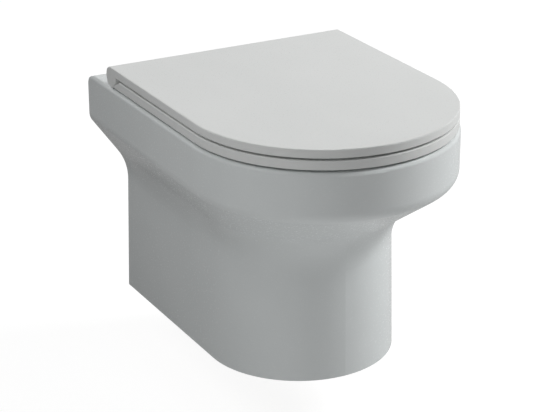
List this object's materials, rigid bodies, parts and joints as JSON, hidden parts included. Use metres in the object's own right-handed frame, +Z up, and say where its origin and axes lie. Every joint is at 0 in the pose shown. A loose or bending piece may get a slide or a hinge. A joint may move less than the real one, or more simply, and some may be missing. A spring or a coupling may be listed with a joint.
{
  "type": "wall hung toilet",
  "caption": "D-shaped wall hung ceramic toilet pan with a flared rim, flat foot, rimless bowl, trapway and a soft-close seat and lid on a rear hinge.",
  "frame": {"origin": "midpoint between the two wall bolts, on the wall face", "axes": "+Y into the wall, the front of the pan at -Y, +X to the right as seen from the front, +Z up"},
  "size_m": [0.36, 0.505, 0.3582],
  "materials": {
    "glaze": "glossy white glaze over vitreous china",
    "seat_resin": "glossy white moulded thermoset",
    "hinge_steel": "satin stainless steel",
    "zinc_steel": "bright zinc plated",
    "damper_plastic": "moulded grey acetal",
    "white_plastic": "moulded white polypropylene",
    "black_rubber": "moulded black rubber",
    "buffer_rubber": "soft translucent grey elastomer"
  },
  "bodies": {
    "pan": {"pan_shell": "glaze", "pan_mouth": "glaze", "pan_bowl": "glaze", "pan_sump": "glaze", "pan_trapway": "glaze", "pan_fixing_wall": "glaze", "flush_distributor": "white_plastic", "inlet_seal": "black_rubber", "bolt_sleeves": "white_plastic", "hinge_post_left": "hinge_steel", "hinge_post_right": "hinge_steel", "hinge_gaskets": "black_rubber", "hinge_studs": "zinc_steel", "hinge_bushes": "black_rubber", "hinge_washers": "black_rubber", "hinge_wing_nuts": "white_plastic", "damper_housing_left": "damper_plastic", "damper_housing_right": "damper_plastic", "damper_seals": "black_rubber", "pivot_cap_left": "damper_plastic", "pivot_cap_right": "damper_plastic"},
    "seat": {"seat_ring": "seat_resin", "seat_buffers": "buffer_rubber", "seat_damper_rotor": "damper_plastic"},
    "lid": {"lid": "seat_resin", "lid_buffers": "buffer_rubber", "lid_damper_rotor": "damper_plastic"}
  },
  "joints": [
    {"name": "seat_hinge", "type": "hinge", "parent": "pan", "child": "seat", "pos_m": [0, -0.073, 0.1017], "axis": [-1, 0, 0], "range_deg": [0, 90]},
    {"name": "lid_hinge", "type": "hinge", "parent": "seat", "child": "lid", "pos_m": [0, -0.073, 0.1017], "axis": [-1, 0, 0], "range_deg": [0, 90]}
  ]
}
